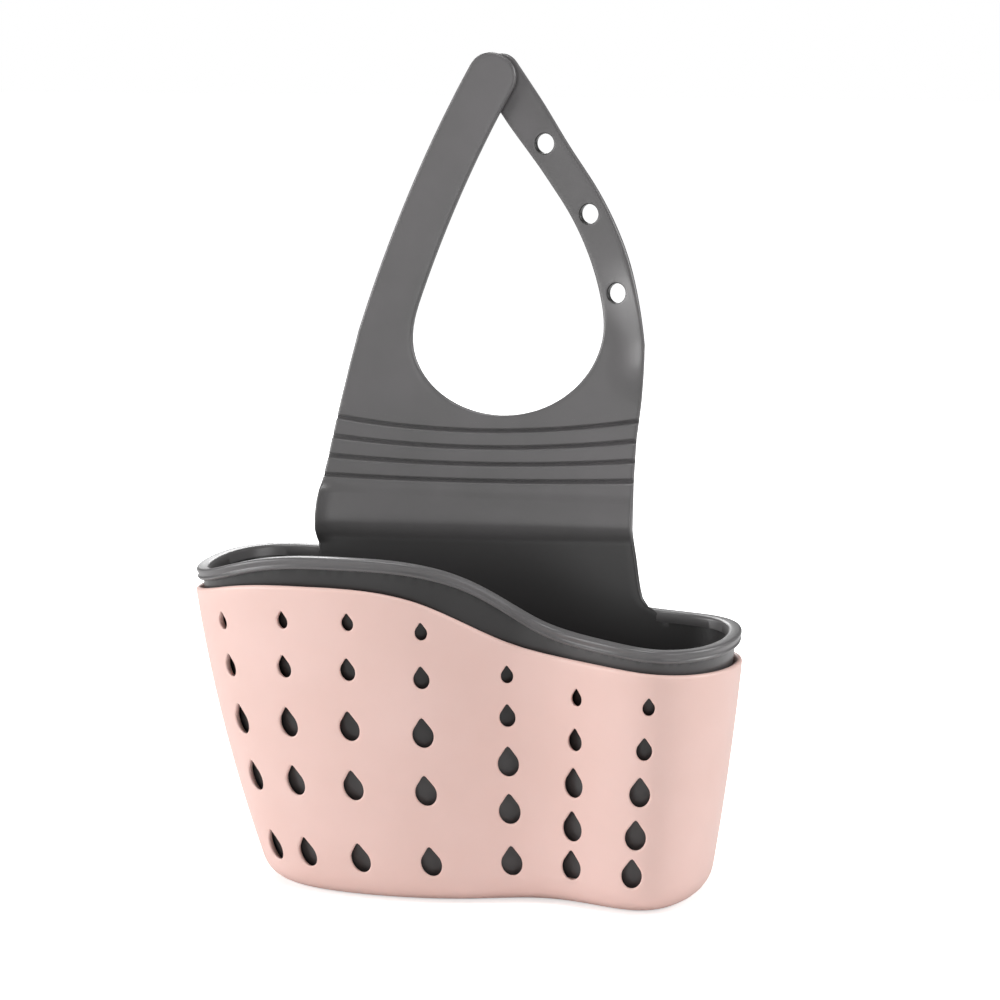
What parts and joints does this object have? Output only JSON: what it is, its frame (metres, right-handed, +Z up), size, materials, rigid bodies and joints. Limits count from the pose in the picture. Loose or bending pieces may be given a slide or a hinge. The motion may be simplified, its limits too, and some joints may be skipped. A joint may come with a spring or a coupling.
{
  "type": "kitchen sink caddy",
  "caption": "Bean-shaped perforated basket with a soft liner that lifts out and a folding strap whose buttoned arms form a loop for hanging on a tap.",
  "frame": {"origin": "middle of the foot on the surface that the basket stands on", "axes": "+Z up, +X to the right seen from the front, the dented front towards -Y"},
  "size_m": [0.1578, 0.0868, 0.235],
  "materials": {
    "shell_plastic": "satin moulded polypropylene",
    "liner_elastomer": "soft-touch moulded elastomer"
  },
  "bodies": {
    "shell": {"outer_shell": "shell_plastic"},
    "liner": {"inner_liner": "liner_elastomer"},
    "rib_1": {"hinge_rib_1": "liner_elastomer"},
    "rib_2": {"hinge_rib_2": "liner_elastomer"},
    "rib_3": {"hinge_rib_3": "liner_elastomer"},
    "yoke": {"strap_yoke": "liner_elastomer"},
    "left_arm": {"left_arm": "liner_elastomer"},
    "right_arm": {"right_arm": "liner_elastomer"}
  },
  "joints": [
    {"name": "liner_lift", "type": "slide", "parent": "shell", "child": "liner", "axis": [0, 0, 1], "range_m": [0, 0.1]},
    {"name": "neck_fold", "type": "hinge", "parent": "liner", "child": "rib_1", "pos_m": [-0.008, 0.03426, 0.11132], "axis": [-1, 0, 0], "range_deg": [-6, 22.5], "stiffness_Nm_per_rad": 0.12},
    {"name": "neck_fold_second", "type": "hinge", "parent": "rib_1", "child": "rib_2", "pos_m": [-0.008, 0.03478, 0.11665], "axis": [-1, 0, 0], "range_deg": [-6, 22.5], "stiffness_Nm_per_rad": 0.12},
    {"name": "neck_fold_third", "type": "hinge", "parent": "rib_2", "child": "rib_3", "pos_m": [-0.008, 0.0353, 0.12197], "axis": [-1, 0, 0], "range_deg": [-6, 22.5], "stiffness_Nm_per_rad": 0.12},
    {"name": "neck_fold_fourth", "type": "hinge", "parent": "rib_3", "child": "yoke", "pos_m": [-0.008, 0.03582, 0.1273], "axis": [-1, 0, 0], "range_deg": [-6, 22.5], "stiffness_Nm_per_rad": 0.12},
    {"name": "left_arm_peel", "type": "hinge", "parent": "yoke", "child": "left_arm", "pos_m": [-0.008, 0.03597, 0.15149], "axis": [1, 0, 0], "range_deg": [0, 70], "stiffness_Nm_per_rad": 0.03},
    {"name": "right_arm_peel", "type": "hinge", "parent": "yoke", "child": "right_arm", "pos_m": [-0.008, 0.03816, 0.15128], "axis": [-1, 0, 0], "range_deg": [0, 70], "stiffness_Nm_per_rad": 0.03}
  ]
}
